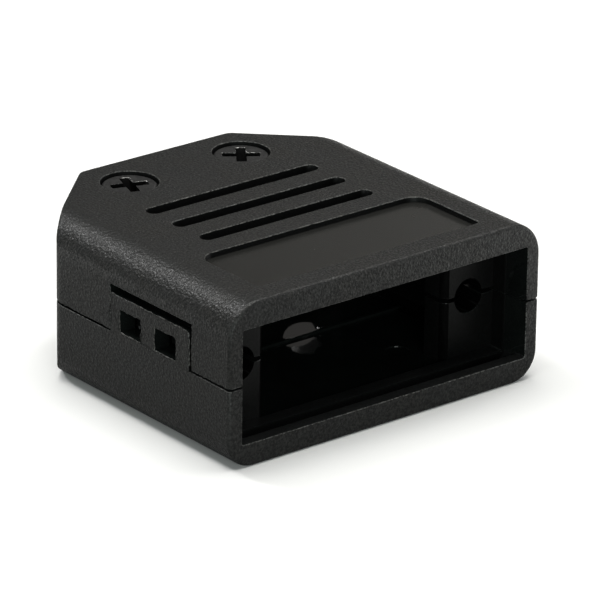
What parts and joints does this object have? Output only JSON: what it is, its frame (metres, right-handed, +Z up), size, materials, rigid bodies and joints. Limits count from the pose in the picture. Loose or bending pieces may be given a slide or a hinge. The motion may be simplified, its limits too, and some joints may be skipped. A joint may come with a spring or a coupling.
{
  "type": "d-sub hood",
  "caption": "Two-part moulded plastic hood for a nine-way D-sub connector, with snap latches at its sides, clamping screws and a strain relief at the cable end.",
  "frame": {"origin": "centre of the hood's bounding box on its underside", "axes": "+Z up, the mating face looks along -Y, the cable leaves along +Y, +X is to the right of someone who faces the mating face"},
  "size_m": [0.0338, 0.0324, 0.0148],
  "materials": {
    "shell_plastic": "spark-textured black outside, smooth inside",
    "screw_steel": "black finished steel",
    "plated_steel": "zinc plated"
  },
  "bodies": {
    "root": {"upper_shell": "shell_plastic", "lower_shell": "shell_plastic", "screw_left": "screw_steel", "screw_right": "screw_steel", "nut_left": "plated_steel", "nut_right": "plated_steel", "clamp_upper": "plated_steel", "clamp_lower": "plated_steel"}
  },
  "joints": []
}
